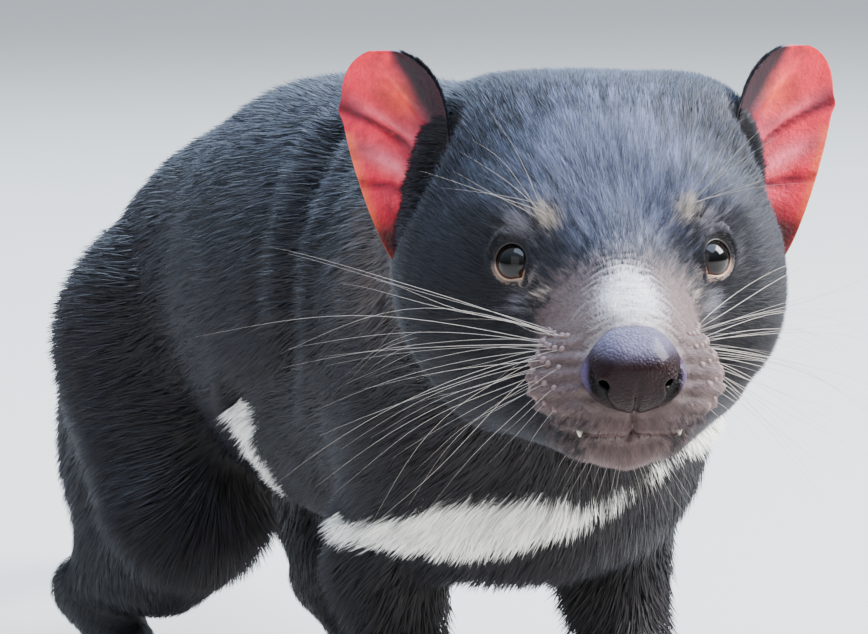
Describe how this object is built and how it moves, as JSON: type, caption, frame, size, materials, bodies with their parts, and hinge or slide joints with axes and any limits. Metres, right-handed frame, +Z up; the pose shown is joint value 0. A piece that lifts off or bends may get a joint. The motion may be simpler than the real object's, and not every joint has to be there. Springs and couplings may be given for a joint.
{
  "type": "tasmanian devil",
  "caption": "Life-size still model of a Tasmanian devil standing on its feet, with its head turned to its right, a pale chest band, cupped ears, whiskers and a tapering tail.",
  "frame": {"origin": "under the middle of the model's bounding box, on the floor", "axes": "+Z up, nose towards -Y, the animal's left side towards +X"},
  "size_m": [0.2366, 0.718, 0.2998],
  "materials": {
    "coat": "short dense black fur with a soft grey sheen",
    "muzzle": "very short greyish pink-brown fur over skin",
    "nose": "wet pebbled bare skin",
    "ear": "thin bare skin with fine down",
    "eye": "wet glossy dark brown",
    "paw": "dark skin with short fur and horn claws"
  },
  "bodies": {
    "root": {"head": "coat", "muzzle": "muzzle", "lower_jaw": "muzzle", "nose_pad": "nose", "ear_left": "ear", "ear_right": "ear", "eye_left": "eye", "eye_right": "eye", "neck": "coat", "chest": "coat", "belly": "coat", "rump": "coat", "upper_arm_left": "coat", "upper_arm_right": "coat", "forearm_left": "coat", "forearm_right": "coat", "thigh_left": "coat", "thigh_right": "coat", "forefoot_left": "paw", "forefoot_right": "paw", "hindfoot_left": "paw", "hindfoot_right": "paw", "tail_root": "coat", "tail_tip": "coat"}
  },
  "joints": []
}
